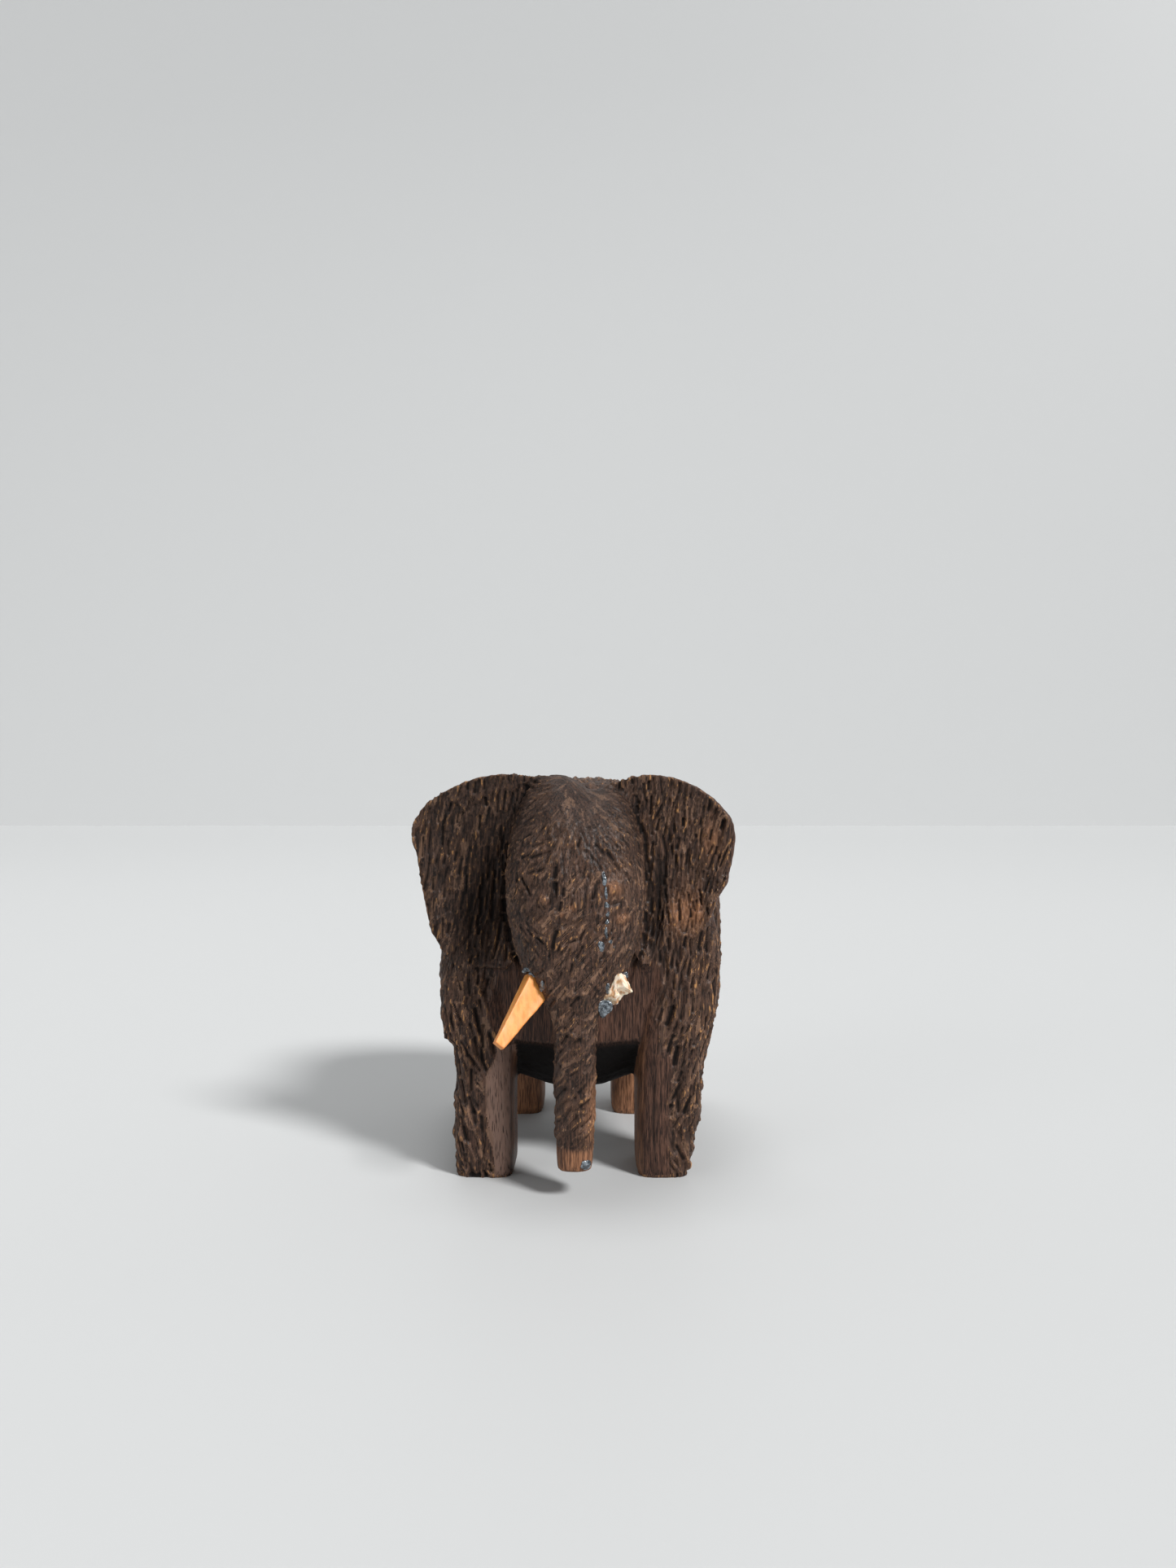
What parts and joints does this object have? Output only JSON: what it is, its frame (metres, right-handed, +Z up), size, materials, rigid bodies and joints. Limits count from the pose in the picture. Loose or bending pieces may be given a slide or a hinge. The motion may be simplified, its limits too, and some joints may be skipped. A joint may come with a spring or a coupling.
{
  "type": "carved wooden elephant figurine",
  "caption": "Small standing elephant carved from one block of dark wood, with a lowered free-hanging trunk, spread ears and pegged pale wood tusks, one of them broken.",
  "frame": {"origin": "on the floor, under the middle of the whole piece's bounding box", "axes": "+Z up; -Y is where the elephant faces; +X is the elephant's left side"},
  "size_m": [0.0602, 0.0812, 0.0738],
  "materials": {
    "dark_wood": "stained, chiselled, satin lacquer",
    "tusk_wood": "smooth, satin",
    "broken_tusk_wood": "raw, fibrous",
    "dried_glue": "glossy, half clear"
  },
  "bodies": {
    "root": {"carved_body": "dark_wood", "right_tusk": "tusk_wood", "left_tusk_stub": "broken_tusk_wood", "right_tusk_glue": "dried_glue", "left_tusk_glue": "dried_glue", "face_glue_run": "dried_glue", "trunk_tip_glue": "dried_glue"}
  },
  "joints": []
}
